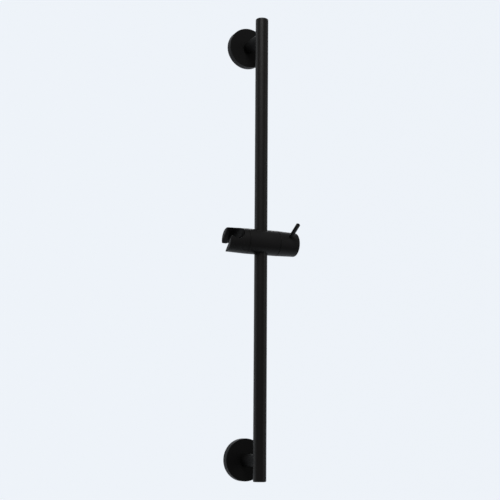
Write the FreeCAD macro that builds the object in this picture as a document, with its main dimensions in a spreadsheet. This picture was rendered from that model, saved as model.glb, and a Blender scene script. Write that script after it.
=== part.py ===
import FreeCAD, Part
import os
import Sketcher
from FreeCAD import Vector

# Shower slide rail, in millimetres and degrees.
# The wall is the plane y = 0 and the front is -Y. The rail stands along Z in front of the wall, and the origin
# lies on the wall midway between the two fixings. The slider lies along X, with its cradle at -X and its
# locking knob at +X.

SIZES = (
    ("rail_diameter", 19.0, "outside diameter of the rail tube"),
    ("rail_wall", 1.2, "wall of the rail tube"),
    ("rail_overhang", 29.7, "centre of a fixing to the end of the rail"),
    ("rail_standoff", 58.5, "wall to the axis of the rail"),
    ("fixing_spacing", 623.0, "centre of the upper fixing to the lower one"),
    ("cap_height", 7.0, "visible height of an end cap"),
    ("cap_edge", 1.8, "rounding of an end cap"),
    ("cap_spigot_length", 8.0, "plug of an end cap inside the tube"),
    ("cap_spigot_wall", 2.0, "wall of that plug"),
    ("flange_diameter", 61.4, "outside diameter of a flange"),
    ("flange_depth", 11.0, "wall to the front face of a flange"),
    ("flange_wall", 2.5, "rim of a flange"),
    ("flange_face", 2.0, "front of a flange"),
    ("flange_edge", 0.8, "rounding of a flange's front edge"),
    ("plate_thickness", 6.0, "thickness of a wall plate"),
    ("plate_hole_diameter", 18.0, "middle hole of a wall plate, round the bolt head"),
    ("plate_groove_depth", 1.2, "groove round a wall plate for the grub screw"),
    ("wall_screw_spacing", 36.0, "distance between the two wall screws of a plate"),
    ("wall_screw_hole", 5.5, "hole for a wall screw"),
    ("grub_diameter", 4.0, "grub screw"),
    ("grub_recess", 0.4, "grub screw below the flange's rim"),
    ("grub_hex", 2.0, "hexagon of a grub screw across its flats"),
    ("post_diameter", 18.0, "outside diameter of a post"),
    ("bolt_diameter", 6.0, "shank of a post bolt"),
    ("bolt_head_diameter", 10.0, "head of a post bolt"),
    ("bolt_head_height", 4.0, "height of that head"),
    ("bolt_hex", 5.0, "hexagon of that head across its flats"),
    ("bolt_reach", 4.0, "post bolt past the axis of the rail"),
    ("nut_length", 16.0, "tapped slug inside the tube"),
    ("slider_height", 1.0, "slider above the middle of the rail"),
    ("cradle_reach", 55.0, "axis of the rail to the cradle's end"),
    ("knob_reach", 55.8, "axis of the rail to the knob's end"),
    ("slider_diameter", 37.0, "middle of the slider"),
    ("slider_end_diameter", 35.0, "ends of the slider"),
    ("body_length", 48.0, "middle piece of the slider"),
    ("seam_gap", 0.3, "gap between the slider's pieces"),
    ("seam_chamfer", 0.4, "bevel beside each gap"),
    ("rail_hole_clearance", 0.35, "rail hole of the slider round the rail, on the radius"),
    ("rail_hole_edge", 1.0, "bevel round each mouth of the rail hole"),
    ("liner_wall", 1.95, "wall of a liner ring"),
    ("liner_height", 7.0, "height of a liner ring"),
    ("liner_offset", 5.2, "slider's axis to the near end of a liner groove"),
    ("liner_split", 1.5, "split in a liner ring"),
    ("pad_diameter", 9.0, "brake pad"),
    ("pad_thickness", 6.0, "brake pad from the rail to its back"),
    ("pad_socket_diameter", 5.0, "nose of the spindle in the brake pad"),
    ("pad_socket_depth", 2.5, "depth of that nose"),
    ("spindle_diameter", 10.0, "thread of the lock spindle"),
    ("spindle_stub_diameter", 8.0, "spindle inside the knob"),
    ("spindle_stub_length", 13.0, "length of the spindle inside the knob"),
    ("knob_hub_diameter", 16.0, "hub inside the knob"),
    ("knob_rim_wall", 3.0, "rim of the knob"),
    ("knob_cavity_depth", 12.0, "hollow between hub and rim"),
    ("knob_edge", 2.5, "rounding of the knob's end"),
    ("lever_diameter", 6.0, "lever pin"),
    ("lever_reach", 46.0, "slider's axis to the tip of the lever pin"),
    ("lever_root", 9.0, "slider's axis to the foot of the lever pin"),
    ("lever_position", 41.0, "axis of the rail to the lever pin, along the slider"),
    ("lever_lean", 60.0, "lever pin from upright, towards the front"),
    ("lever_edge", 0.8, "bevel at the tip of the lever pin"),
    ("cradle_lean", 48.0, "handset socket from upright, towards the front"),
    ("cradle_edge", 1.0, "bevel of the cradle's end"),
    ("cradle_web", 3.7, "cradle between the slider body and the screw's seat"),
    ("socket_position", 43.0, "axis of the rail to the handset socket, along the slider"),
    ("socket_top_diameter", 24.0, "upper end of the conical handset socket"),
    ("socket_bottom_diameter", 20.0, "lower end of the conical handset socket"),
    ("mouth_width", 18.4, "side mouth of the socket, for the hose"),
    ("mouth_edge", 2.0, "rounding of the mouth's outer edges"),
    ("socket_edge", 0.5, "bevel of the socket's upper and lower rims"),
    ("pivot_head_diameter", 10.5, "head of the cradle screw"),
    ("pivot_head_height", 2.6, "height of that head"),
    ("pivot_hex", 4.0, "hexagon of that head across its flats"),
    ("pivot_shoulder_diameter", 8.0, "shoulder that the cradle tilts on"),
    ("pivot_thread_diameter", 6.0, "thread of the cradle screw"),
    ("pivot_thread_length", 8.0, "length of that thread"),
    ("pivot_head_clearance", 0.5, "counterbore round the head, on the radius"),
    ("spring_thickness", 0.5, "disc spring"),
    ("spring_height", 0.3, "height of its cone"),
    ("washer_diameter", 24.0, "friction washer"),
    ("washer_thickness", 1.2, "thickness of the friction washer"),
    ("running_clearance", 0.05, "between pieces that turn or slide on each other"),
    ("seat_clearance", 0.02, "between pieces that are fixed to each other"),
    ("plate_clearance", 0.3, "flange round the wall plate, on the radius"),
    ("bolt_clearance", 0.3, "holes round the post bolts, on the radius"),
    ("thread_runout", 1.0, "tapped hole past the end of its screw"),
)

doc = FreeCAD.newDocument("shower_slide_rail")
sheet = doc.addObject("Spreadsheet::Sheet", "Sizes")
for row, (alias, size, meaning) in enumerate(SIZES, start=1):
    sheet.set(f"A{row}", meaning)
    sheet.set(f"B{row}", str(size))
    sheet.setAlias(f"B{row}", alias)
doc.recompute()

# Expressions that several pieces share.
RUN = "Sizes.running_clearance"
SEAT = "Sizes.seat_clearance"
RAIL_RADIUS = "(Sizes.rail_diameter / 2)"
TUBE_BORE = f"({RAIL_RADIUS} - Sizes.rail_wall)"
TUBE_HALF = "(Sizes.fixing_spacing / 2 + Sizes.rail_overhang - Sizes.cap_height)"
FIXING_HEIGHT = "(Sizes.fixing_spacing / 2)"
FLANGE_RADIUS = "(Sizes.flange_diameter / 2)"
FLANGE_INSIDE = f"({FLANGE_RADIUS} - Sizes.flange_wall)"
PLATE_RADIUS = f"({FLANGE_INSIDE} - Sizes.plate_clearance)"
PLATE_MIDDLE = "(Sizes.plate_thickness / 2)"
FACE_INSIDE = "(Sizes.flange_depth - Sizes.flange_face)"
BOLT_RADIUS = "(Sizes.bolt_diameter / 2)"
BOLT_HOLE = f"({BOLT_RADIUS} + Sizes.bolt_clearance)"
GRUB_RADIUS = "(Sizes.grub_diameter / 2)"
SLIDER_RADIUS = "(Sizes.slider_diameter / 2)"
END_RADIUS = "(Sizes.slider_end_diameter / 2)"
BODY_HALF = "(Sizes.body_length / 2)"
SEAM_END = f"({BODY_HALF} + Sizes.seam_gap)"
RAIL_HOLE = f"({RAIL_RADIUS} + Sizes.rail_hole_clearance)"
LINER_INSIDE = f"({RAIL_RADIUS} + {RUN})"
LINER_OUTSIDE = f"({LINER_INSIDE} + Sizes.liner_wall)"
LINER_START = "Sizes.liner_offset"
LINER_END = f"(Sizes.liner_offset + Sizes.liner_height + 2 * {RUN})"
PAD_RADIUS = "(Sizes.pad_diameter / 2)"
PAD_FACE = f"({RAIL_RADIUS} + {RUN})"
PAD_BACK = f"({PAD_FACE} + Sizes.pad_thickness)"
NOSE_RADIUS = "(Sizes.pad_socket_diameter / 2)"
SPINDLE_RADIUS = "(Sizes.spindle_diameter / 2)"
STUB_RADIUS = "(Sizes.spindle_stub_diameter / 2)"
LEVER_RADIUS = "(Sizes.lever_diameter / 2)"
SHOULDER_RADIUS = "(Sizes.pivot_shoulder_diameter / 2)"
THREAD_RADIUS = "(Sizes.pivot_thread_diameter / 2)"
HEAD_RADIUS = "(Sizes.pivot_head_diameter / 2)"
WASHER_RADIUS = "(Sizes.washer_diameter / 2)"
WASHER_RECESS = f"(Sizes.washer_thickness + {RUN} - Sizes.seam_gap)"
SPRING_STACK = f"(Sizes.spring_thickness + Sizes.spring_height + {RUN})"
PIVOT_SEAT = f"({SEAM_END} + Sizes.cradle_web)"
PIVOT_HEAD_SEAT = f"({PIVOT_SEAT} + {SPRING_STACK})"
PIVOT_HEAD_TOP = f"({PIVOT_HEAD_SEAT} + Sizes.pivot_head_height)"
RAIL_PLACE = "-Sizes.rail_standoff"
SLIDER_PLACE = "Sizes.slider_height"
PAST_SLIDER = f"({SLIDER_RADIUS} + 1)"

ALONG_X = Vector(1, 0, 0)
ALONG_Y = Vector(0, 1, 0)
TO_FRONT = (ALONG_X, "90")
TO_RIGHT = (ALONG_Y, "90")
UPSIDE_DOWN = (ALONG_X, "180")

pieces = []


def value(text):
    """Number that an expression gives with the sheet's sizes."""
    return float(sheet.evalExpression(text))


def new_sketch(body, plane, name):
    """Sketch on one of the body's own origin planes."""
    support = next(feature for feature in body.Origin.OriginFeatures if feature.Role == plane)
    sketch = body.newObject("Sketcher::SketchObject", f"{body.Label}_{name}")
    sketch.AttachmentSupport = (support, [""])
    sketch.MapMode = "FlatFace"
    return sketch


def bind_point(sketch, geometry, point, across, up):
    """Hold one point of a sketch at two expressions, measured from the sketch's origin."""
    for kind, text in (("DistanceX", across), ("DistanceY", up)):
        number = sketch.addConstraint(Sketcher.Constraint(kind, -1, 1, geometry, point, value(text)))
        sketch.setExpression(f"Constraints[{number}]", text)


def draw_outline(sketch, corners):
    """Closed outline of straight lines through corners that are pairs of expressions."""
    points = [Vector(value(across), value(up), 0) for across, up in corners]
    following = points[1:] + points[:1]
    for start, end in zip(points, following):
        sketch.addGeometry(Part.LineSegment(start, end), False)
    for number in range(len(points)):
        after = (number + 1) % len(points)
        sketch.addConstraint(Sketcher.Constraint("Coincident", number, 2, after, 1))
    for number, (across, up) in enumerate(corners):
        bind_point(sketch, number, 1, across, up)


def draw_circle(sketch, across, up, radius):
    """Circle with its centre and radius held by expressions."""
    centre = Vector(value(across), value(up), 0)
    circle = sketch.addGeometry(Part.Circle(centre, Vector(0, 0, 1), value(radius)), False)
    bind_point(sketch, circle, 3, across, up)
    number = sketch.addConstraint(Sketcher.Constraint("Radius", circle, value(radius)))
    sketch.setExpression(f"Constraints[{number}]", radius)


def turned(label, corners, axis="V_Axis"):
    """Piece turned from one outline about the sketch's upright axis, or about its level one."""
    body = doc.addObject("PartDesign::Body", label)
    body.Label = label
    profile = new_sketch(body, "XZ_Plane", "profile")
    draw_outline(profile, corners)
    feature = body.newObject("PartDesign::Revolution", f"{label}_turned")
    feature.Profile = profile
    feature.ReferenceAxis = (profile, [axis])
    feature.Angle = 360
    doc.recompute()
    pieces.append(body)
    return body


def confirm_cut(body, before, name):
    """Stop the build if a cut took nothing away."""
    doc.recompute()
    if not body.Shape.Volume < before - 1e-3:
        raise RuntimeError(f"{body.Label}: {name} cut nothing")


def cut_turned(body, name, corners, axis):
    """Take away a shape turned about one of the sketch's axes."""
    before = body.Shape.Volume
    profile = new_sketch(body, "XZ_Plane", name)
    draw_outline(profile, corners)
    feature = body.newObject("PartDesign::Groove", f"{body.Label}_{name}_cut")
    feature.Profile = profile
    feature.ReferenceAxis = (profile, [axis])
    feature.Angle = 360
    confirm_cut(body, before, name)


def cut_through(body, name, plane, draw):
    """Cut a drawn outline right through the body, on both sides of the plane."""
    before = body.Shape.Volume
    sketch = new_sketch(body, plane, name)
    draw(sketch)
    feature = body.newObject("PartDesign::Pocket", f"{body.Label}_{name}_cut")
    feature.Profile = sketch
    feature.Type = "ThroughAll"
    feature.SideType = "Symmetric"
    confirm_cut(body, before, name)


def cut_from(body, name, plane, draw, start, depth, reverse=False):
    """Cut a drawn outline from a height above the plane, to a depth."""
    before = body.Shape.Volume
    sketch = new_sketch(body, plane, name)
    sketch.setExpression("AttachmentOffset.Base.z", start)
    draw(sketch)
    feature = body.newObject("PartDesign::Pocket", f"{body.Label}_{name}_cut")
    feature.Profile = sketch
    feature.Type = "Length"
    feature.Reversed = reverse
    feature.setExpression("Length", depth)
    confirm_cut(body, before, name)


def dress_edges(body, kind, name, size, wanted):
    """Fillet or chamfer the edges that the test picks out."""
    base = body.Tip
    names = [f"Edge{number}" for number, edge in enumerate(base.Shape.Edges, start=1) if wanted(edge)]
    if not names:
        raise RuntimeError(f"{body.Label}: {name} found no edge")
    feature = body.newObject(f"PartDesign::{kind}", f"{body.Label}_{name}")
    feature.Base = (base, names)
    feature.setExpression("Radius" if kind == "Fillet" else "Size", size)
    doc.recompute()


def draw_hexagon(flats):
    """Drawing of a hexagon of the given width across its flats, round the origin."""
    radius = f"({flats} / (2 * cos(30)))"
    corners = [(f"{radius} * cos({angle})", f"{radius} * sin({angle})") for angle in range(0, 360, 60)]
    return lambda sketch: draw_outline(sketch, corners)


def near(number, text):
    """True where a measured number equals an expression."""
    return abs(number - value(text)) < 1e-3


def is_ring(edge, radius):
    """True for a full circle of the given radius."""
    return isinstance(edge.Curve, Part.Circle) and edge.isClosed() and near(edge.Curve.Radius, radius)


def place(body, across="0", forward="0", up="0", turn=None):
    """Set the piece in the assembly, with an optional turn about one axis."""
    if turn:
        axis, angle = turn
        body.Placement = FreeCAD.Placement(Vector(), FreeCAD.Rotation(axis, value(angle)))
        body.setExpression("Placement.Rotation.Angle", angle)
    body.setExpression("Placement.Base.x", across)
    body.setExpression("Placement.Base.y", forward)
    body.setExpression("Placement.Base.z", up)


# Rail

def make_rail_tube():
    """Open tube with one bolt hole through its back at each fixing."""
    tube = turned("rail_tube", [
        (TUBE_BORE, f"-{TUBE_HALF}"),
        (RAIL_RADIUS, f"-{TUBE_HALF}"),
        (RAIL_RADIUS, TUBE_HALF),
        (TUBE_BORE, TUBE_HALF),
    ])
    for name, height in (("upper_hole", FIXING_HEIGHT), ("lower_hole", f"-{FIXING_HEIGHT}")):
        cut_from(tube, name, "XZ_Plane", lambda sketch: draw_circle(sketch, "0", height, BOLT_HOLE),
                 "0", "Sizes.rail_diameter")
    place(tube, forward=RAIL_PLACE)


def make_end_cap(label, height, turn):
    """Turned cap with a rounded rim and a hollow plug that sits in the tube."""
    plug = f"({TUBE_BORE} - {SEAT})"
    hollow = f"({plug} - Sizes.cap_spigot_wall)"
    cap = turned(label, [
        ("0", "Sizes.cap_height"),
        ("0", "0"),
        (hollow, "0"),
        (hollow, "-Sizes.cap_spigot_length"),
        (plug, "-Sizes.cap_spigot_length"),
        (plug, "0"),
        (RAIL_RADIUS, "0"),
        (RAIL_RADIUS, "Sizes.cap_height"),
    ])
    dress_edges(cap, "Fillet", "rim", "Sizes.cap_edge",
                lambda edge: is_ring(edge, RAIL_RADIUS) and near(edge.CenterOfMass.z, "Sizes.cap_height"))
    place(cap, forward=RAIL_PLACE, up=height, turn=turn)


# Fixings

def make_wall_plate(label, height):
    """Ring with a groove round its rim, fixed to the wall by two screws."""
    groove = "Sizes.plate_groove_depth"
    plate = turned(label, [
        ("Sizes.plate_hole_diameter / 2", "0"),
        (PLATE_RADIUS, "0"),
        (PLATE_RADIUS, f"{PLATE_MIDDLE} - {groove}"),
        (f"{PLATE_RADIUS} - {groove}", PLATE_MIDDLE),
        (PLATE_RADIUS, f"{PLATE_MIDDLE} + {groove}"),
        (PLATE_RADIUS, "Sizes.plate_thickness"),
        ("Sizes.plate_hole_diameter / 2", "Sizes.plate_thickness"),
    ])

    def draw_screw_holes(sketch):
        for side in ("", "-"):
            draw_circle(sketch, f"{side}Sizes.wall_screw_spacing / 2", "0", "Sizes.wall_screw_hole / 2")

    cut_through(plate, "screw_holes", "XY_Plane", draw_screw_holes)
    place(plate, up=height, turn=TO_FRONT)


def make_flange(label, height):
    """Round cup over the wall plate, with a tapped hole for the grub screw in its underside."""
    flange = turned(label, [
        (BOLT_HOLE, FACE_INSIDE),
        (FLANGE_INSIDE, FACE_INSIDE),
        (FLANGE_INSIDE, "0"),
        (FLANGE_RADIUS, "0"),
        (FLANGE_RADIUS, "Sizes.flange_depth"),
        (BOLT_HOLE, "Sizes.flange_depth"),
    ])
    dress_edges(flange, "Fillet", "front_edge", "Sizes.flange_edge",
                lambda edge: is_ring(edge, FLANGE_RADIUS) and near(edge.CenterOfMass.z, "Sizes.flange_depth"))
    cut_from(flange, "grub_hole", "XZ_Plane",
             lambda sketch: draw_circle(sketch, "0", PLATE_MIDDLE, f"{GRUB_RADIUS} + {SEAT}"),
             "0", "Sizes.flange_diameter", reverse=True)
    place(flange, up=height, turn=TO_FRONT)


def make_grub_screw(label, height):
    """Headless screw with a hexagon socket and a point in the wall plate's groove."""
    start = f"({FLANGE_RADIUS} - Sizes.grub_recess)"
    point = f"({start} - {PLATE_RADIUS} + Sizes.plate_groove_depth - {SEAT} * 2)"
    screw = turned(label, [
        ("0", "0"),
        (GRUB_RADIUS, "0"),
        (GRUB_RADIUS, f"{point} - {GRUB_RADIUS}"),
        ("0", point),
    ])
    cut_from(screw, "socket", "XY_Plane", draw_hexagon("Sizes.grub_hex"), "0", "Sizes.grub_hex / 2", reverse=True)
    place(screw, forward=f"-{PLATE_MIDDLE}", up=f"{height} - {start}")


def make_post(label, height):
    """Hollow spacer from the flange to the tube, with a saddle that fits round the tube."""
    post = turned(label, [
        (BOLT_HOLE, "Sizes.flange_depth"),
        ("Sizes.post_diameter / 2", "Sizes.flange_depth"),
        ("Sizes.post_diameter / 2", "Sizes.rail_standoff"),
        (BOLT_HOLE, "Sizes.rail_standoff"),
    ])
    cut_through(post, "saddle", "XZ_Plane",
                lambda sketch: draw_circle(sketch, "0", "Sizes.rail_standoff", f"{RAIL_RADIUS} + {SEAT}"))
    place(post, up=height, turn=TO_FRONT)


def make_post_bolt(label, height):
    """Socket screw that clamps flange, post and tube together."""
    length = f"(Sizes.rail_standoff - {FACE_INSIDE} + Sizes.bolt_head_height + Sizes.bolt_reach)"
    bolt = turned(label, [
        ("0", "0"),
        ("Sizes.bolt_head_diameter / 2", "0"),
        ("Sizes.bolt_head_diameter / 2", "Sizes.bolt_head_height"),
        (BOLT_RADIUS, "Sizes.bolt_head_height"),
        (BOLT_RADIUS, length),
        ("0", length),
    ])
    cut_from(bolt, "socket", "XY_Plane", draw_hexagon("Sizes.bolt_hex"), "0", "Sizes.bolt_hex / 2", reverse=True)
    place(bolt, forward=f"-({FACE_INSIDE} - Sizes.bolt_head_height)", up=height, turn=TO_FRONT)


def make_rail_nut(label, height):
    """Slug inside the tube with a tapped hole across it."""
    nut = turned(label, [
        ("0", "-Sizes.nut_length / 2"),
        (f"{TUBE_BORE} - {SEAT}", "-Sizes.nut_length / 2"),
        (f"{TUBE_BORE} - {SEAT}", "Sizes.nut_length / 2"),
        ("0", "Sizes.nut_length / 2"),
    ])
    cut_through(nut, "tapped_hole", "XZ_Plane",
                lambda sketch: draw_circle(sketch, "0", "0", f"{BOLT_RADIUS} + {SEAT}"))
    place(nut, forward=RAIL_PLACE, up=height)


# Slider

def make_slider_body():
    """Cylinder along X, bored across for the rail and along X for the lock and the cradle's pivot."""
    bevel = "Sizes.seam_chamfer"
    body = turned("slider_body", [
        (f"-{BODY_HALF}", "0"),
        (BODY_HALF, "0"),
        (BODY_HALF, f"{SLIDER_RADIUS} - {bevel}"),
        (f"{BODY_HALF} - {bevel}", SLIDER_RADIUS),
        (f"-{BODY_HALF} + {bevel}", SLIDER_RADIUS),
        (f"-{BODY_HALF}", f"{SLIDER_RADIUS} - {bevel}"),
    ], axis="H_Axis")

    groove = f"({LINER_OUTSIDE} + {RUN})"
    cut_turned(body, "rail_hole", [
        ("0", f"-{PAST_SLIDER}"),
        (RAIL_HOLE, f"-{PAST_SLIDER}"),
        (RAIL_HOLE, f"-{LINER_END}"),
        (groove, f"-{LINER_END}"),
        (groove, f"-{LINER_START}"),
        (RAIL_HOLE, f"-{LINER_START}"),
        (RAIL_HOLE, LINER_START),
        (groove, LINER_START),
        (groove, LINER_END),
        (RAIL_HOLE, LINER_END),
        (RAIL_HOLE, PAST_SLIDER),
        ("0", PAST_SLIDER),
    ], "V_Axis")

    pad_step = f"({PAD_BACK} - Sizes.seam_gap)"
    cut_turned(body, "lock_bore", [
        ("0", "0"),
        ("0", f"{PAD_RADIUS} + {RUN}"),
        (pad_step, f"{PAD_RADIUS} + {RUN}"),
        (pad_step, f"{SPINDLE_RADIUS} + {RUN}"),
        (BODY_HALF, f"{SPINDLE_RADIUS} + {RUN}"),
        (BODY_HALF, "0"),
    ], "H_Axis")

    recess_floor = f"(-{BODY_HALF} + {WASHER_RECESS})"
    tapped_end = f"({recess_floor} + Sizes.pivot_thread_length + Sizes.thread_runout)"
    cut_turned(body, "pivot_bore", [
        (f"-{BODY_HALF}", "0"),
        (f"-{BODY_HALF}", f"{WASHER_RADIUS} + {RUN}"),
        (recess_floor, f"{WASHER_RADIUS} + {RUN}"),
        (recess_floor, f"{THREAD_RADIUS} + {SEAT}"),
        (tapped_end, f"{THREAD_RADIUS} + {SEAT}"),
        (tapped_end, "0"),
    ], "H_Axis")

    def is_mouth(edge):
        box = edge.BoundBox
        across = box.XLength / 2
        return near(across, RAIL_HOLE) and abs(edge.CenterOfMass.z) > value(LINER_END)

    dress_edges(body, "Chamfer", "mouths", "Sizes.rail_hole_edge", is_mouth)
    place(body, forward=RAIL_PLACE, up=SLIDER_PLACE)


def make_liner(label, turn=None):
    """Split ring that lies in a groove of the slider and runs on the rail."""
    start = f"({LINER_START} + {RUN})"
    end = f"({LINER_END} - {RUN})"
    liner = turned(label, [
        (LINER_INSIDE, start),
        (LINER_OUTSIDE, start),
        (LINER_OUTSIDE, end),
        (LINER_INSIDE, end),
    ])

    def draw_split(sketch):
        half = "Sizes.liner_split / 2"
        draw_outline(sketch, [
            (f"-{LINER_OUTSIDE} - 1", f"-{half}"),
            ("0", f"-{half}"),
            ("0", half),
            (f"-{LINER_OUTSIDE} - 1", half),
        ])

    cut_through(liner, "split", "XY_Plane", draw_split)
    place(liner, forward=RAIL_PLACE, up=SLIDER_PLACE, turn=turn)


# Handset cradle

def make_cradle():
    """Forked end of the slider: a conical socket across it, open to the end through a narrower mouth."""
    inner_face = f"(Sizes.socket_position - {SEAM_END})"
    outer_face = "(Sizes.socket_position - Sizes.cradle_reach)"
    bevel = "Sizes.seam_chamfer"
    edge_size = "Sizes.cradle_edge"
    cradle = turned("cradle", [
        (outer_face, "0"),
        (inner_face, "0"),
        (inner_face, f"{SLIDER_RADIUS} - {bevel}"),
        (f"{inner_face} - {bevel}", SLIDER_RADIUS),
        (outer_face, END_RADIUS),
    ], axis="H_Axis")
    dress_edges(cradle, "Chamfer", "end_edge", edge_size, lambda edge: is_ring(edge, END_RADIUS))

    cut_turned(cradle, "socket", [
        ("0", f"-{PAST_SLIDER}"),
        ("Sizes.socket_bottom_diameter / 2", f"-{PAST_SLIDER}"),
        ("Sizes.socket_top_diameter / 2", PAST_SLIDER),
        ("0", PAST_SLIDER),
    ], "V_Axis")

    def draw_mouth(sketch):
        half = "Sizes.mouth_width / 2"
        draw_outline(sketch, [
            (f"{outer_face} - 1", f"-{half}"),
            ("0", f"-{half}"),
            ("0", half),
            (f"{outer_face} - 1", half),
        ])

    cut_through(cradle, "mouth", "XY_Plane", draw_mouth)

    def is_mouth_edge(edge):
        middle = edge.CenterOfMass
        straight = isinstance(edge.Curve, Part.Line)
        return straight and near(middle.x, outer_face) and near(abs(middle.y), "Sizes.mouth_width / 2")

    dress_edges(cradle, "Fillet", "mouth_edges", "Sizes.mouth_edge", is_mouth_edge)

    def is_rim(edge):
        return abs(edge.CenterOfMass.z) > value(END_RADIUS) / 2

    dress_edges(cradle, "Chamfer", "rims", "Sizes.socket_edge", is_rim)

    seat = f"(Sizes.socket_position - {PIVOT_SEAT})"
    cut_turned(cradle, "pivot_hole", [
        ("0", "0"),
        ("0", f"{HEAD_RADIUS} + Sizes.pivot_head_clearance"),
        (seat, f"{HEAD_RADIUS} + Sizes.pivot_head_clearance"),
        (seat, f"{SHOULDER_RADIUS} + {RUN}"),
        (inner_face, f"{SHOULDER_RADIUS} + {RUN}"),
        (inner_face, "0"),
    ], "H_Axis")
    place(cradle, across="-Sizes.socket_position", forward=RAIL_PLACE, up=SLIDER_PLACE,
          turn=(ALONG_X, "Sizes.cradle_lean"))


def make_cradle_screw():
    """Shoulder screw: head in the cradle, shoulder through it, thread in the slider body."""
    head = "Sizes.pivot_head_height"
    shoulder_end = f"({PIVOT_HEAD_TOP} - {BODY_HALF} + {WASHER_RECESS})"
    screw_end = f"({shoulder_end} + Sizes.pivot_thread_length)"
    screw = turned("cradle_screw", [
        ("0", "0"),
        (HEAD_RADIUS, "0"),
        (HEAD_RADIUS, head),
        (SHOULDER_RADIUS, head),
        (SHOULDER_RADIUS, shoulder_end),
        (THREAD_RADIUS, shoulder_end),
        (THREAD_RADIUS, screw_end),
        ("0", screw_end),
    ])
    cut_from(screw, "socket", "XY_Plane", draw_hexagon("Sizes.pivot_hex"), "0", "Sizes.pivot_hex / 2", reverse=True)
    place(screw, across=f"-{PIVOT_HEAD_TOP}", forward=RAIL_PLACE, up=SLIDER_PLACE, turn=TO_RIGHT)


def make_cradle_spring():
    """Disc spring between the screw's head and its seat in the cradle."""
    inside = f"({SHOULDER_RADIUS} + {RUN})"
    spring = turned("cradle_spring", [
        (inside, "0"),
        (HEAD_RADIUS, "Sizes.spring_height"),
        (HEAD_RADIUS, "Sizes.spring_height + Sizes.spring_thickness"),
        (inside, "Sizes.spring_thickness"),
    ])
    place(spring, across=f"-{PIVOT_HEAD_SEAT}", forward=RAIL_PLACE, up=SLIDER_PLACE, turn=TO_RIGHT)


def make_cradle_washer():
    """Friction washer in the recess of the slider body."""
    inside = f"({SHOULDER_RADIUS} + {RUN})"
    washer = turned("cradle_washer", [
        (inside, "0"),
        (WASHER_RADIUS, "0"),
        (WASHER_RADIUS, "Sizes.washer_thickness"),
        (inside, "Sizes.washer_thickness"),
    ])
    place(washer, across=f"-{BODY_HALF} + {WASHER_RECESS} - Sizes.washer_thickness", forward=RAIL_PLACE,
          up=SLIDER_PLACE, turn=TO_RIGHT)


# Slider lock

def make_brake_pad():
    """Round pad, hollow in front to fit the rail and drilled at its back for the spindle's nose."""
    socket_floor = f"({PAD_BACK} - Sizes.pad_socket_depth - {RUN})"
    pad = turned("brake_pad", [
        ("0", "0"),
        (socket_floor, "0"),
        (socket_floor, f"{NOSE_RADIUS} + {RUN}"),
        (PAD_BACK, f"{NOSE_RADIUS} + {RUN}"),
        (PAD_BACK, PAD_RADIUS),
        ("0", PAD_RADIUS),
    ], axis="H_Axis")
    cut_through(pad, "rail_face", "XY_Plane", lambda sketch: draw_circle(sketch, "0", "0", PAD_FACE))
    place(pad, forward=RAIL_PLACE, up=SLIDER_PLACE)


def make_lock_spindle():
    """Screw with a nose in the brake pad and a stub fixed in the knob."""
    start = f"({PAD_BACK} - Sizes.pad_socket_depth)"
    shoulder = f"(Sizes.pad_socket_depth + {RUN})"
    thread_end = f"({SEAM_END} - {start})"
    stub_end = f"({thread_end} + Sizes.spindle_stub_length)"
    spindle = turned("lock_spindle", [
        ("0", "0"),
        (NOSE_RADIUS, "0"),
        (NOSE_RADIUS, shoulder),
        (SPINDLE_RADIUS, shoulder),
        (SPINDLE_RADIUS, thread_end),
        (STUB_RADIUS, thread_end),
        (STUB_RADIUS, stub_end),
        ("0", stub_end),
    ])
    place(spindle, across=start, forward=RAIL_PLACE, up=SLIDER_PLACE, turn=TO_RIGHT)


def make_lock_knob():
    """Tapered end of the slider, hollow behind, with a hub for the spindle and a hole for the lever pin."""
    bevel = "Sizes.seam_chamfer"
    stub = f"({STUB_RADIUS} + {SEAT})"
    stub_end = f"({SEAM_END} + Sizes.spindle_stub_length + {SEAT})"
    cavity = f"({SEAM_END} + Sizes.knob_cavity_depth)"
    rim = f"({END_RADIUS} - Sizes.knob_rim_wall)"
    knob = turned("lock_knob", [
        (stub_end, "0"),
        (stub_end, stub),
        (SEAM_END, stub),
        (SEAM_END, "Sizes.knob_hub_diameter / 2"),
        (cavity, "Sizes.knob_hub_diameter / 2"),
        (cavity, rim),
        (SEAM_END, rim),
        (SEAM_END, f"{SLIDER_RADIUS} - {bevel}"),
        (f"{SEAM_END} + {bevel}", SLIDER_RADIUS),
        ("Sizes.knob_reach", END_RADIUS),
        ("Sizes.knob_reach", "0"),
    ], axis="H_Axis")
    dress_edges(knob, "Fillet", "end_edge", "Sizes.knob_edge", lambda edge: is_ring(edge, END_RADIUS))
    cut_from(knob, "lever_hole", "XY_Plane",
             lambda sketch: draw_circle(sketch, "Sizes.lever_position", "0", f"{LEVER_RADIUS} + {SEAT}"),
             "Sizes.lever_root", SLIDER_RADIUS, reverse=True)
    place(knob, forward=RAIL_PLACE, up=SLIDER_PLACE, turn=(ALONG_X, "Sizes.lever_lean"))


def make_lever_pin():
    """Plain rod pressed into the knob, with a bevelled tip."""
    bevel = "Sizes.lever_edge"
    lever = turned("lever_pin", [
        ("0", "Sizes.lever_root"),
        (LEVER_RADIUS, "Sizes.lever_root"),
        (LEVER_RADIUS, f"Sizes.lever_reach - {bevel}"),
        (f"{LEVER_RADIUS} - {bevel}", "Sizes.lever_reach"),
        ("0", "Sizes.lever_reach"),
    ])
    place(lever, across="Sizes.lever_position", forward=RAIL_PLACE, up=SLIDER_PLACE,
          turn=(ALONG_X, "Sizes.lever_lean"))


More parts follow.
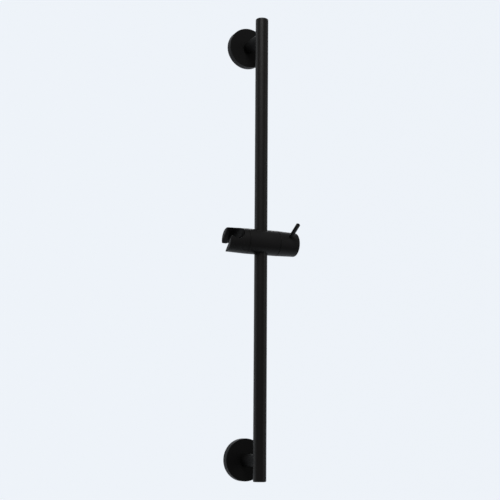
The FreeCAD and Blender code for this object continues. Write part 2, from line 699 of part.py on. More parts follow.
def check_pieces():
    """Stop the build at the first feature or solid that is not sound."""
    doc.recompute()
    for feature in doc.Objects:
        if any(word in feature.State for word in ("Invalid", "Error")):
            raise RuntimeError(f"{feature.Label}: {feature.State}")
    for piece in pieces:
        shape = piece.Shape
        if shape.isNull() or not shape.isValid() or len(shape.Solids) != 1:
            raise RuntimeError(f"{piece.Label}: not one sound solid")


make_rail_tube()
make_end_cap("top_end_cap", TUBE_HALF, None)
make_end_cap("bottom_end_cap", f"-{TUBE_HALF}", UPSIDE_DOWN)
for place_name, fixing in (("upper", FIXING_HEIGHT), ("lower", f"-{FIXING_HEIGHT}")):
    make_wall_plate(f"{place_name}_wall_plate", fixing)
    make_flange(f"{place_name}_flange", fixing)
    make_grub_screw(f"{place_name}_grub_screw", fixing)
    make_post(f"{place_name}_post", fixing)
    make_post_bolt(f"{place_name}_post_bolt", fixing)
    make_rail_nut(f"{place_name}_rail_nut", fixing)
make_slider_body()
make_liner("upper_liner")
make_liner("lower_liner", UPSIDE_DOWN)
make_cradle()
make_cradle_screw()
make_cradle_spring()
make_cradle_washer()
make_brake_pad()
make_lock_spindle()
make_lock_knob()
make_lever_pin()
check_pieces()

os.makedirs("parts", exist_ok=True)
for piece in pieces:
    piece.Shape.exportStep(os.path.join("parts", f"{piece.Label}.step"))
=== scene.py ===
"""Looks of a wall-mounted shower slide rail: finishes, screws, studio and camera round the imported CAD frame.

Lengths are metres in the frame of the CAD model: +Z runs up the rail, the wall is the plane y = 0 and the
front is -Y.
"""

from __future__ import annotations

import logging
import math
from abc import ABC, abstractmethod
from dataclasses import dataclass, field
from enum import Enum
from typing import Any

import bmesh
import bpy
import numpy as np
from mathutils import Matrix, Vector

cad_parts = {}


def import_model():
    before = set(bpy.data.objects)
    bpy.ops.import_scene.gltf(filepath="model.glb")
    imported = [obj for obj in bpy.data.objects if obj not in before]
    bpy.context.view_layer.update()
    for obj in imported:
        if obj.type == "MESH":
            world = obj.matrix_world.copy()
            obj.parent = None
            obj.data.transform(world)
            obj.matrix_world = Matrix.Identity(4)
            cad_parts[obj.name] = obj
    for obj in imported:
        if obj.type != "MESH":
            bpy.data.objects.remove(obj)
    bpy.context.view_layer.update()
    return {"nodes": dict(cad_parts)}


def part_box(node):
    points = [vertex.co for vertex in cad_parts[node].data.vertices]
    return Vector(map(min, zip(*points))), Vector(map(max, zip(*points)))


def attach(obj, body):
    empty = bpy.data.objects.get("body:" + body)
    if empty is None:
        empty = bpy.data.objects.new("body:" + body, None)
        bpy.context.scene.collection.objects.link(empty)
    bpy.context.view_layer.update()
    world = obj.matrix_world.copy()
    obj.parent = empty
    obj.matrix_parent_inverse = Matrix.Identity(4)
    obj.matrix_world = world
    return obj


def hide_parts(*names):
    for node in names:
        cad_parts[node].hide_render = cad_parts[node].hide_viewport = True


LOG = logging.getLogger("slide_rail")
IMAGE_PIXELS = 500
MILLIMETRE = 0.001
MERGE_DISTANCE = 1e-7
SHARP_ANGLE = math.radians(35)
FULL_TURN = 2 * math.pi
SIXTH_TURN = FULL_TURN / 6
WALL_ANGLE = math.pi / 2  # of the rail's back, counted round +Z from +X
NOISE_MIDDLE = 0.5

Colour = tuple[float, float, float]
Place = tuple[float, float, float]


class Slot(Enum):
    """Names of two material slots; this script does not use them."""

    COAT = "black_coat"
    STEEL = "bare_steel"


class Body(Enum):
    """Bodies that new pieces ride on."""

    RAIL = "rail"
    SLIDER = "slider"
    KNOB = "knob"


class Side(Enum):
    """The two wall fixings, from below."""

    LOWER = "lower"
    UPPER = "upper"


class Heading(Enum):
    """Directions that screws run in, from the start of their outline to its end."""

    FRONT = (0, -1, 0)
    UP = (0, 0, 1)
    RIGHT = (1, 0, 0)


class Ray(Enum):
    """Kinds of ray that show the pale background instead of the lit stage."""

    CAMERA = "Is Camera Ray"
    GLOSSY = "Is Glossy Ray"
    TRANSMISSION = "Is Transmission Ray"


class Signal:
    """An output socket whose arithmetic adds Math nodes to its tree."""

    def __init__(self, tree: ShaderTree, socket: bpy.types.NodeSocket) -> None:
        """Keep the tree and the socket that the value comes from."""
        self.tree = tree
        self.socket = socket

    def _math(self, operation: str, left: Any, right: Any) -> Signal:
        """Add one Math node.

        Args:
            operation: Name of the Math node's operation.
            left: First operand, a signal or a number.
            right: Second operand, a signal or a number.

        Returns:
            The result as a new signal.
        """
        node = self.tree.add("ShaderNodeMath", {"operation": operation}, {0: left, 1: right})
        return Signal(self.tree, node.outputs[0])

    def __add__(self, other: Any) -> Signal:
        """Sum of two values."""
        return self._math("ADD", self, other)

    def __radd__(self, other: Any) -> Signal:
        """Sum with a number on the left."""
        return self._math("ADD", other, self)

    def __sub__(self, other: Any) -> Signal:
        """Difference of two values."""
        return self._math("SUBTRACT", self, other)

    def __rsub__(self, other: Any) -> Signal:
        """Difference with a number on the left."""
        return self._math("SUBTRACT", other, self)

    def __mul__(self, other: Any) -> Signal:
        """Product of two values."""
        return self._math("MULTIPLY", self, other)

    def __rmul__(self, other: Any) -> Signal:
        """Product with a number on the left."""
        return self._math("MULTIPLY", other, self)

    def at_most(self, limit: Any) -> Signal:
        """Lesser of the value and a limit."""
        return self._math("MINIMUM", self, limit)

    def size(self) -> Signal:
        """Value without its sign."""
        return self._math("ABSOLUTE", self, 0.0)

    def blended(self, other: Signal, share: float) -> Signal:
        """Blend with another value, of which it takes the given share."""
        return self * (1 - share) + other * share

    def swing(self, amount: float) -> Signal:
        """Departure of a noise from its middle, times an amount."""
        return (self - NOISE_MIDDLE) * amount

    def smooth_step(self, start: float, end: float) -> Signal:
        """Share that rises smoothly as the value goes from one number to another.

        Args:
            start: Value at which the share is 0.
            end: Value at which the share is 1.

        Returns:
            The share.
        """
        node = self.tree.add("ShaderNodeMapRange", {"interpolation_type": "SMOOTHSTEP"},
                             {"Value": self, "From Min": start, "From Max": end})
        return Signal(self.tree, node.outputs[0])


class ShaderTree:
    """Node tree of one new material or world."""

    def __init__(self, owner: bpy.types.Material | bpy.types.World, output: str) -> None:
        """Empty the owner's tree.

        Args:
            owner: The new material or world.
            output: Blender's type name of its output node.
        """
        self.owner = owner
        self.output = output
        owner.use_nodes = True
        self.nodes = owner.node_tree.nodes
        self.links = owner.node_tree.links
        self.nodes.clear()

    @classmethod
    def of_material(cls, name: str) -> ShaderTree:
        """Tree of a new material."""
        return cls(bpy.data.materials.new(name), "ShaderNodeOutputMaterial")

    @classmethod
    def of_world(cls, name: str) -> ShaderTree:
        """Tree of a new world."""
        return cls(bpy.data.worlds.new(name), "ShaderNodeOutputWorld")

    def add(self, kind: str, settings: dict[str, Any] | None = None,
            inputs: dict[Any, Any] | None = None) -> bpy.types.Node:
        """Add a node, set it and feed its sockets.

        Args:
            kind: Blender's type name of the node.
            settings: Attributes that are set first.
            inputs: Socket name or number to a signal, a socket or a plain value.

        Returns:
            The new node.
        """
        node = self.nodes.new(kind)
        for attribute, setting in (settings or {}).items():
            setattr(node, attribute, setting)
        for socket, given in (inputs or {}).items():
            if isinstance(given, Signal):
                self.links.new(given.socket, node.inputs[socket])
            elif isinstance(given, bpy.types.NodeSocket):
                self.links.new(given, node.inputs[socket])
            else:
                node.inputs[socket].default_value = given
        return node

    def signal(self, node: bpy.types.Node, output: Any = 0) -> Signal:
        """Signal of one of a node's outputs."""
        return Signal(self, node.outputs[output])

    def place(self) -> bpy.types.NodeSocket:
        """Object coordinates in metres."""
        return self.add("ShaderNodeTexCoord").outputs["Object"]

    def parts(self, vector: bpy.types.NodeSocket) -> tuple[Signal, ...]:
        """The x, y and z of a vector."""
        node = self.add("ShaderNodeSeparateXYZ", {}, {0: vector})
        return tuple(Signal(self, output) for output in node.outputs)

    def noise(self, size: float, octaves: float = 2.0) -> Signal:
        """Smooth noise whose features are about the given size.

        Args:
            size: Feature size in metres.
            octaves: Number of finer octaves.

        Returns:
            Values round one half.
        """
        node = self.add("ShaderNodeTexNoise", {"noise_dimensions": "3D"},
                        {"Vector": self.place(), "Scale": 1.0 / size, "Detail": octaves})
        return self.signal(node, "Fac")

    def mix_colour(self, share: Any, first: Colour, second: Colour) -> bpy.types.NodeSocket:
        """Blend of two colours.

        Args:
            share: Part of the second colour, a signal or a number.
            first: Colour at share 0.
            second: Colour at share 1.

        Returns:
            The colour socket.
        """
        node = self.add("ShaderNodeMix", {"data_type": "RGBA"},
                        {"Factor": share, "A": (*first, 1.0), "B": (*second, 1.0)})
        return node.outputs["Result"]

    def bump(self, height: Signal, depth: float, strength: float = 1.0) -> bpy.types.NodeSocket:
        """Normal that a relief gives.

        Args:
            height: Height between 0 and 1.
            depth: Height in metres that 1 stands for.
            strength: Share of the relief that shows.

        Returns:
            The normal socket.
        """
        node = self.add("ShaderNodeBump", {}, {"Height": height, "Distance": depth, "Strength": strength})
        return node.outputs["Normal"]

    def finish(self, shader: bpy.types.NodeSocket) -> Any:
        """Send a shader to the output and return the material or world."""
        self.add(self.output, {}, {"Surface": shader})
        return self.owner


@dataclass(frozen=True)
class Finish(ABC):
    """What a piece is made of: a colour and a roughness, both varied by the finish's own pattern."""

    name: str
    colour: Colour
    roughness: float

    def shade(self, factor: float) -> Colour:
        """The colour times a factor, channel by channel."""
        return tuple(channel * factor for channel in self.colour)

    @abstractmethod
    def pattern(self, tree: ShaderTree) -> dict[str, Any]:
        """Add the pattern's nodes.

        Args:
            tree: Tree of the finish's material.

        Returns:
            What the Principled shader gets, by the names of its sockets.
        """

    def build(self) -> bpy.types.Material:
        """Make the material, one Principled shader with the pattern on it.

        Returns:
            The material, which has the finish's name.
        """
        tree = ShaderTree.of_material(self.name)
        shader = tree.add("ShaderNodeBsdfPrincipled", {}, self.pattern(tree))
        return tree.finish(shader.outputs["BSDF"])


@dataclass(frozen=True)
class PowderCoat(Finish):
    """Satin black powder coat: faint orange peel, fine speckle and slow clouds in gloss and tone."""

    specular: float
    peel_size: float = 0.7 * MILLIMETRE
    speckle_size: float = 0.22 * MILLIMETRE
    cloud_size: float = 38 * MILLIMETRE
    relief_depth: float = 0.055 * MILLIMETRE
    speckle_in_relief: float = 0.4
    speckle_in_tone: float = 0.6
    darkest: float = 0.5
    lightest: float = 1.5
    cloud_in_gloss: float = 0.10
    speckle_in_gloss: float = 0.08

    def pattern(self, tree: ShaderTree) -> dict[str, Any]:
        """Add the peel, the speckle and the clouds.

        Args:
            tree: Tree of the coat's material.

        Returns:
            What the Principled shader gets, by the names of its sockets.
        """
        peel = tree.noise(self.peel_size)
        speckle = tree.noise(self.speckle_size, octaves=1.0)
        cloud = tree.noise(self.cloud_size, octaves=3.0)
        gloss = self.roughness + cloud.swing(self.cloud_in_gloss) + speckle.swing(self.speckle_in_gloss)
        return {
            "Base Color": tree.mix_colour(cloud.blended(speckle, self.speckle_in_tone),
                                          self.shade(self.darkest), self.shade(self.lightest)),
            "Roughness": gloss,
            "Normal": tree.bump(peel.blended(speckle, self.speckle_in_relief), self.relief_depth),
            "Specular IOR Level": self.specular,
        }


@dataclass(frozen=True)
class TurnedSteel(Finish):
    """Bare steel with fine tool marks and slightly clouded shine."""

    mark_size: float = 0.25 * MILLIMETRE
    mark_depth: float = 0.006 * MILLIMETRE
    mark_strength: float = 0.7
    cloud_size: float = 9 * MILLIMETRE
    cloud_in_tone: float = 0.5
    darkest: float = 0.78
    marks_in_gloss: float = 0.16

    def pattern(self, tree: ShaderTree) -> dict[str, Any]:
        """Add the tool marks and the clouds.

        Args:
            tree: Tree of the steel's material.

        Returns:
            What the Principled shader gets, by the names of its sockets.
        """
        marks = tree.noise(self.mark_size)
        cloud = tree.noise(self.cloud_size)
        return {
            "Base Color": tree.mix_colour(marks.blended(cloud, self.cloud_in_tone),
                                          self.shade(self.darkest), self.colour),
            "Roughness": self.roughness + marks.swing(self.marks_in_gloss),
            "Normal": tree.bump(marks, self.mark_depth, self.mark_strength),
            "Metallic": 1.0,
        }


@dataclass(frozen=True)
class ZincPlate(Finish):
    """Dull zinc-plated steel with a faint crystal pattern."""

    crystal_size: float = 2.4 * MILLIMETRE
    cloud_size: float = 14 * MILLIMETRE
    cloud_in_tone: float = 0.5
    darkest: float = 0.6
    crystals_in_gloss: float = 0.16
    grain_size: float = 0.3 * MILLIMETRE
    grain_depth: float = 0.02 * MILLIMETRE
    grain_strength: float = 0.8

    def pattern(self, tree: ShaderTree) -> dict[str, Any]:
        """Add the crystals, each with one random value, the clouds and a fine grain.

        Args:
            tree: Tree of the plating's material.

        Returns:
            What the Principled shader gets, by the names of its sockets.
        """
        cells = tree.add("ShaderNodeTexVoronoi", {"feature": "F1"},
                         {"Vector": tree.place(), "Scale": 1.0 / self.crystal_size, "Randomness": 1.0})
        channels = tree.add("ShaderNodeSeparateColor", {}, {"Color": cells.outputs["Color"]})
        crystal = tree.signal(channels, "Red")
        cloud = tree.noise(self.cloud_size, octaves=3.0)
        grain = tree.noise(self.grain_size, octaves=1.0)
        return {
            "Base Color": tree.mix_colour(crystal.blended(cloud, self.cloud_in_tone),
                                          self.colour, self.shade(self.darkest)),
            "Roughness": self.roughness + crystal.swing(self.crystals_in_gloss),
            "Normal": tree.bump(grain, self.grain_depth, self.grain_strength),
            "Metallic": 1.0,
        }


@dataclass(frozen=True)
class MouldedNylon(Finish):
    """Dark moulded nylon with a fine spark-eroded grain."""

    specular: float = 0.4
    grain_size: float = 0.35 * MILLIMETRE
    grain_depth: float = 0.02 * MILLIMETRE
    grain_strength: float = 0.5
    cloud_size: float = 6 * MILLIMETRE
    darkest: float = 0.8
    lightest: float = 1.25
    grain_in_gloss: float = 0.12

    def pattern(self, tree: ShaderTree) -> dict[str, Any]:
        """Add the grain and the clouds.

        Args:
            tree: Tree of the nylon's material.

        Returns:
            What the Principled shader gets, by the names of its sockets.
        """
        grain = tree.noise(self.grain_size)
        cloud = tree.noise(self.cloud_size)
        return {
            "Base Color": tree.mix_colour(cloud, self.shade(self.darkest), self.shade(self.lightest)),
            "Roughness": self.roughness + grain.swing(self.grain_in_gloss),
            "Normal": tree.bump(grain, self.grain_depth, self.grain_strength),
            "Specular IOR Level": self.specular,
        }


RAIL_COAT = PowderCoat("rail_coat", (0.0033, 0.0028, 0.0025), roughness=0.43, specular=0.18)
FIXING_COAT = PowderCoat("fixing_coat", (0.0019, 0.0019, 0.0019), roughness=0.52, specular=0.10)
SLIDER_COAT = PowderCoat("slider_coat", (0.0044, 0.0043, 0.0044), roughness=0.43, specular=0.14)
SCREW_STEEL = TurnedSteel("screw_steel", (0.52, 0.52, 0.53), roughness=0.34)
PLATE_ZINC = ZincPlate("plate_zinc", (0.52, 0.525, 0.54), roughness=0.44)
LINER_NYLON = MouldedNylon("liner_nylon", (0.045, 0.045, 0.047), roughness=0.50)


class Wardrobe:
    """Builds each finish once and puts it on pieces."""

    def __init__(self, nodes: dict[str, bpy.types.Object]) -> None:
        """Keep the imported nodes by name."""
        self.nodes = nodes
        self.built: dict[str, bpy.types.Material] = {}

    def material(self, finish: Finish) -> bpy.types.Material:
        """Material of a finish, built at its first use.

        Args:
            finish: The finish.

        Returns:
            Its material.
        """
        if finish.name not in self.built:
            self.built[finish.name] = finish.build()
        return self.built[finish.name]

    def dress(self, node: str, finish: Finish) -> None:
        """Give a CAD node its finish in every material slot.

        Args:
            node: Name of the CAD node.
            finish: What it is made of.
        """
        piece = self.nodes[node]
        material = self.material(finish)
        if not piece.material_slots:
            piece.data.materials.append(material)
        for slot in piece.material_slots:
            slot.material = material
        LOG.info("%s wears %s", node, finish.name)

    def dress_all(self, finishes: dict[str, Finish]) -> None:
        """Give each of several CAD nodes its finish."""
        for node, finish in finishes.items():
            self.dress(node, finish)

    def stand_in(self, piece: bpy.types.Object, node: str, body: Body, finish: Finish) -> None:
        """Let a new piece stand for a CAD node and give it its finish.

        Args:
            piece: The new piece.
            node: Name of the CAD node that it hides.
            body: Body that it rides on.
            finish: What it is made of.
        """
        piece.data.materials.append(self.material(finish))
        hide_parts(node)
        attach(piece, body.value)
        LOG.info("%s stands for %s in %s", piece.name, node, finish.name)


def grid_quads(rows: int, columns: int, closed: bool) -> np.ndarray:
    """Quads between the neighbours of a grid of points that are numbered row by row.

    Args:
        rows: Number of rows.
        columns: Number of points in a row.
        closed: Whether the last column joins the first.

    Returns:
        Array of rows by columns by 4 point numbers, one row and, if open, one column fewer than the points.
    """
    number = np.arange(rows * columns).reshape(rows, columns)
    if closed:
        number = np.concatenate([number, number[:, :1]], axis=1)
    return np.stack([number[:-1, :-1], number[:-1, 1:], number[1:, 1:], number[1:, :-1]], axis=-1)


def band_quads(first: np.ndarray, second: np.ndarray) -> np.ndarray:
    """Quads of the band between two closed loops of as many points.

    Args:
        first: Point numbers of one loop, in order.
        second: Point numbers of the other loop, in the same order.

    Returns:
        Array of quads by 4 point numbers.
    """
    return np.stack([first, np.roll(first, -1), np.roll(second, -1), second], axis=-1)


def new_piece(name: str, points: np.ndarray, quads: np.ndarray) -> bpy.types.Object:
    """Mesh object from points and quads, smooth except at its edges.

    Points that coincide, as at a pole, are merged, and the faces are turned outwards.

    Args:
        name: Name of the object and its mesh.
        points: Array that ends in 3 coordinates, in metres.
        quads: Array that ends in 4 point numbers.

    Returns:
        The object, linked to the scene.
    """
    mesh = bpy.data.meshes.new(name)
    mesh.from_pydata(points.reshape(-1, 3).tolist(), [], quads.reshape(-1, 4).tolist())
    shape = bmesh.new()
    shape.from_mesh(mesh)
    bmesh.ops.remove_doubles(shape, verts=shape.verts, dist=MERGE_DISTANCE)
    bmesh.ops.recalc_face_normals(shape, faces=shape.faces)
    shape.to_mesh(mesh)
    shape.free()
    mesh.polygons.foreach_set("use_smooth", np.ones(len(mesh.polygons), dtype=bool))
    mesh.set_sharp_from_angle(angle=SHARP_ANGLE)
    piece = bpy.data.objects.new(name, mesh)
    bpy.context.scene.collection.objects.link(piece)
    return piece


@dataclass
class RailTube:
    """Finely rounded tube in place of the CAD tube, with the same two bolt holes in its back."""

    wall: float = 1.2 * MILLIMETRE
    bolt_hole: float = 3.3 * MILLIMETRE
    around: int = 112
    half_patch: int = 9
    rings: int = 5

    def hole_heights(self) -> tuple[float, ...]:
        """Heights of the lower and the upper bolt hole, which are those of the posts."""
        return tuple(sum(corner[2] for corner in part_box(f"{side.value}_post")) / 2 for side in Side)

    def hole_rings(self, square: np.ndarray, height: float, radius: float, outside: float) -> np.ndarray:
        """Rings from the rim of a square that is left out of the wall to the rim of the hole inside it.

        They change in even steps. The hole's rim is a circle seen from behind, so its angle from the back is
        the arcsine of its sideways reach over the wall's radius.

        Args:
            square: Angle and height of each point round the square.
            height: Height of the hole's middle.
            radius: Radius of this wall.
            outside: Radius of the outer wall.

        Returns:
            Array of rings by points by 2, without the square's own rim.
        """
        turn = np.arctan2(square[:, 1] - height, (WALL_ANGLE - square[:, 0]) * outside)
        circle = np.stack([WALL_ANGLE - np.arcsin(self.bolt_hole * np.cos(turn) / radius),
                           height + self.bolt_hole * np.sin(turn)], axis=-1)
        share = np.linspace(0, 1, self.rings + 1)[1:, None, None]
        return square * (1 - share) + circle * share

    def unrolled(self, radius: float, outside: float, bottom: float,
                 top: float) -> tuple[np.ndarray, np.ndarray, list[np.ndarray]]:
        """One wall of the tube as angle and height, with a round hole at each fixing.

        The wall is a grid of angle by height. Round each hole a square of the grid is left out and filled
        with rings.

        Args:
            radius: Radius of this wall.
            outside: Radius of the outer wall, which sets the size of the squares.
            bottom: Lower end of the tube.
            top: Upper end of the tube.

        Returns:
            Angle and height of each point, the quads, and the loops of point numbers at the ends and holes.
        """
        step = FULL_TURN / self.around
        back = self.around // 2
        left, right = back - self.half_patch, back + self.half_patch
        reach = np.arange(-self.half_patch, self.half_patch + 1) * step
        heights = self.hole_heights()
        rows = np.concatenate([[bottom], *(height + reach * outside for height in heights), [top]])
        angles = WALL_ANGLE + (np.arange(self.around) - back) * step
        grid = np.stack(np.meshgrid(angles, rows), axis=-1)
        number = np.arange(grid.shape[0] * grid.shape[1]).reshape(grid.shape[:2])
        quads = grid_quads(*grid.shape[:2], closed=True)
        kept = np.ones(quads.shape[:2], dtype=bool)
        points = [grid.reshape(-1, 2)]
        faces = []
        loops = [number[0], number[-1]]
        for place, height in enumerate(heights):
            low = 1 + place * len(reach)
            high = low + 2 * self.half_patch
            kept[low:high, left:right] = False
            rim = np.concatenate([number[low, left:right], number[low:high, right],
                                  number[high, right:left:-1], number[high:low:-1, left]])
            first = sum(len(part) for part in points)
            points.append(self.hole_rings(points[0][rim], height, radius, outside).reshape(-1, 2))
            circles = np.concatenate([rim, first + np.arange(self.rings * len(rim))]).reshape(-1, len(rim))
            faces += [band_quads(inner, outer) for inner, outer in zip(circles[:-1], circles[1:])]
            loops.append(circles[-1])
        return np.concatenate(points), np.concatenate([quads[kept], *faces]), loops

    def build(self, wardrobe: Wardrobe) -> None:
        """Make the tube from its two walls and the bands that join them at the ends and holes, and coat it.

        Args:
            wardrobe: Gives the tube its finish.
        """
        low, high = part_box("rail_tube")
        outside = (high[0] - low[0]) / 2
        middle = (low[1] + high[1]) / 2
        points, faces, loops = [], [], []
        for radius in (outside, outside - self.wall):
            flat, quads, rims = self.unrolled(radius, outside, low[2], high[2])
            angle, height = flat.T
            first = sum(len(part) for part in points)
            points.append(np.stack([radius * np.cos(angle), middle + radius * np.sin(angle), height],
                                   axis=-1))
            faces.append(quads + first)
            loops.append([rim + first for rim in rims])
        faces += [band_quads(outer, inner) for outer, inner in zip(*loops)]
        tube = new_piece("rail_tube_fine", np.concatenate(points), np.concatenate(faces))
        wardrobe.stand_in(tube, "rail_tube", Body.RAIL, RAIL_COAT)


@dataclass(frozen=True)
class Corner:
    """Corner of a screw's outline; the run that ends in it may be six-sided or threaded."""

    radius: float
    along: float
    six_sided: bool = False
    threaded: bool = False


@dataclass
class Screw(ABC):
    """Turned piece with a real thread in place of a plain CAD screw; the thread's depth is in pitches."""

    node: str
    body: Body
    heading: Heading
    pitch: float
    thread_depth: float = 0.61
    steps_per_turn: int = 10
    around: int = 60

    @staticmethod
    def key_socket(key: float) -> list[Corner]:
        """Six-sided socket, half as deep as its key is wide, from the middle of its floor to its mouth."""
        half = key / 2
        return [Corner(0, half), Corner(half, half, six_sided=True), Corner(half, 0, six_sided=True)]

    @staticmethod
    def bevelled_start(radius: float, height: float, bevel: float) -> list[Corner]:
        """Side of a head or nose from its bevelled start to the given height."""
        return [Corner(radius - bevel, 0), Corner(radius, bevel), Corner(radius, height)]

    @staticmethod
    def bevelled_end(radius: float, length: float, bevel: float, threaded: bool) -> list[Corner]:
        """Last run of a screw, with a bevel at its tip."""
        return [Corner(radius, length - bevel, threaded=threaded), Corner(radius - bevel, length),
                Corner(0, length)]

    @abstractmethod
    def outline(self, length: float) -> list[Corner]:
        """Corners from the axis at the screw's start to the axis at its end.

        Args:
            length: Length of the CAD screw.

        Returns:
            The corners in order.
        """

    def surface(self, length: float) -> np.ndarray:
        """Grid of the screw along +Z.

        Each row is a station of the outline and each column an angle. The radius is the outline's; on a
        six-sided run it is divided by the cosine of the angle from the nearest flat's middle, and on a
        threaded run a vee that climbs one pitch in each turn is taken off it, fading out over the first and
        the last turn.

        Args:
            length: Length of the CAD screw.

        Returns:
            Array of stations by angles by 3.
        """
        corners = self.outline(length)
        runs = []
        for before, after in zip(corners[:-1], corners[1:]):
            turns = abs(after.along - before.along) / self.pitch
            count = max(1, round(turns * self.steps_per_turn)) if after.threaded else 1
            share = np.arange(1, count + 1) / count
            fade = np.clip(np.minimum(share, 1 - share) * turns, 0, 1) if after.threaded else np.zeros(count)
            runs.append(np.stack([
                before.radius + (after.radius - before.radius) * share,
                before.along + (after.along - before.along) * share,
                np.full(count, float(after.six_sided)),
                fade,
            ], axis=-1))
        first = np.array([[corners[0].radius, corners[0].along, 0.0, 0.0]])
        radius, along, six_sided, thread = np.concatenate([first, *runs]).T[:, :, None]
        angle = np.linspace(0, FULL_TURN, self.around, endpoint=False)[None, :]
        flat = 1 / np.cos(angle % SIXTH_TURN - SIXTH_TURN / 2)
        climb = (along / self.pitch - angle / FULL_TURN) % 1
        vee = 1 - np.abs(2 * climb - 1)
        spread = radius * (1 + six_sided * (flat - 1)) - thread * vee * self.thread_depth * self.pitch
        return np.stack([spread * np.cos(angle), spread * np.sin(angle), along + 0 * angle], axis=-1)

    def build(self, wardrobe: Wardrobe) -> None:
        """Make the screw where its CAD node lies, its start at the rear end of its heading, and dress it.

        Args:
            wardrobe: Gives the screw its finish.
        """
        low, high = (np.array(corner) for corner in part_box(self.node))
        axis = np.array(self.heading.value)
        length = float(abs(axis @ (high - low)))
        across = np.roll(np.abs(axis), 1)
        turned = self.surface(length) @ np.stack([across, np.cross(axis, across), axis])
        points = turned + (low + high) / 2 - axis * length / 2
        screw = new_piece(f"{self.node}_threaded", points, grid_quads(*points.shape[:2], closed=True))
        wardrobe.stand_in(screw, self.node, self.body, SCREW_STEEL)


@dataclass
class PostBolt(Screw):
    """Socket screw that holds a post: head with a six-sided socket, plain shank, threaded end."""

    head_radius: float = 5.0 * MILLIMETRE
    head_height: float = 4.0 * MILLIMETRE
    key: float = 5.0 * MILLIMETRE
    shank_radius: float = 3.0 * MILLIMETRE
    threaded_length: float = 24.0 * MILLIMETRE
    bevel: float = 0.4 * MILLIMETRE

    def outline(self, length: float) -> list[Corner]:
        """Socket, head, shank, thread and bevelled tip.

        Args:
            length: Length of the CAD screw.

        Returns:
            The corners in order.
        """
        return [
            *self.key_socket(self.key),
            *self.bevelled_start(self.head_radius, self.head_height, self.bevel),
            Corner(self.shank_radius, self.head_height),
            Corner(self.shank_radius, length - self.threaded_length),
            *self.bevelled_end(self.shank_radius, length, self.bevel, threaded=True),
        ]


@dataclass
class GrubScrew(Screw):
    """Headless screw with a six-sided socket and a cone point."""

    key: float = 2.0 * MILLIMETRE
    radius: float = 2.0 * MILLIMETRE

    def outline(self, length: float) -> list[Corner]:
        """Socket, threaded side and point.

        Args:
            length: Length of the CAD screw.

        Returns:
            The corners in order.
        """
        return [
            *self.key_socket(self.key),
            Corner(self.radius, 0),
            Corner(self.radius, length - self.radius, threaded=True),
            Corner(0, length),
        ]


@dataclass
class CradleScrew(Screw):
    """Shoulder screw that the cradle tilts on."""

    head_radius: float = 5.25 * MILLIMETRE
    head_height: float = 2.6 * MILLIMETRE
    key: float = 4.0 * MILLIMETRE
    shoulder_radius: float = 4.0 * MILLIMETRE
    thread_radius: float = 3.0 * MILLIMETRE
    threaded_length: float = 8.0 * MILLIMETRE
    bevel: float = 0.3 * MILLIMETRE

    def outline(self, length: float) -> list[Corner]:
        """Socket, head, shoulder, thread and bevelled tip.

        Args:
            length: Length of the CAD screw.

        Returns:
            The corners in order.
        """
        return [
            *self.key_socket(self.key),
            *self.bevelled_start(self.head_radius, self.head_height, self.bevel),
            Corner(self.shoulder_radius, self.head_height),
            Corner(self.shoulder_radius, length - self.threaded_length),
            Corner(self.thread_radius, length - self.threaded_length),
            *self.bevelled_end(self.thread_radius, length, self.bevel, threaded=True),
        ]


@dataclass
class LockSpindle(Screw):
    """Lock screw: nose in the brake pad, coarse thread in the slider, stub in the knob."""

    nose_radius: float = 2.5 * MILLIMETRE
    nose_length: float = 2.55 * MILLIMETRE
    thread_radius: float = 5.0 * MILLIMETRE
    stub_radius: float = 4.0 * MILLIMETRE
    stub_length: float = 13.0 * MILLIMETRE
    bevel: float = 0.4 * MILLIMETRE

    def outline(self, length: float) -> list[Corner]:
        """Bevelled nose, thread and bevelled stub.

        Args:
            length: Length of the CAD screw.

        Returns:
            The corners in order.
        """
        return [
            Corner(0, 0),
            *self.bevelled_start(self.nose_radius, self.nose_length, self.bevel),
            Corner(self.thread_radius, self.nose_length),
            Corner(self.thread_radius, length - self.stub_length, threaded=True),
            Corner(self.stub_radius, length - self.stub_length),
            *self.bevelled_end(self.stub_radius, length, self.bevel, threaded=False),
        ]


@dataclass
class Rail:
    """Tube with its two end caps."""

    tube: RailTube = field(default_factory=RailTube)
    finishes: dict[str, Finish] = field(default_factory=lambda: {
        "top_end_cap": RAIL_COAT, "bottom_end_cap": RAIL_COAT,
    })

    def build(self, wardrobe: Wardrobe) -> None:
        """Make the fine tube and coat the caps."""
        self.tube.build(wardrobe)
        wardrobe.dress_all(self.finishes)


@dataclass
class Fixing:
    """One wall fixing: plate, flange, grub screw, post, bolt and nut."""

    side: Side
    bolt_pitch: float = 1.0 * MILLIMETRE
    grub_pitch: float = 0.7 * MILLIMETRE
    finishes: dict[str, Finish] = field(default_factory=lambda: {
        "wall_plate": PLATE_ZINC, "flange": FIXING_COAT, "post": FIXING_COAT, "rail_nut": SCREW_STEEL,
    })

    def build(self, wardrobe: Wardrobe) -> None:
        """Dress the turned pieces and make the two screws.

        Args:
            wardrobe: Gives the pieces their finishes.
        """
        side = self.side.value
        wardrobe.dress_all({f"{side}_{piece}": finish for piece, finish in self.finishes.items()})
        PostBolt(f"{side}_post_bolt", Body.RAIL, Heading.FRONT, self.bolt_pitch).build(wardrobe)
        GrubScrew(f"{side}_grub_screw", Body.RAIL, Heading.UP, self.grub_pitch).build(wardrobe)


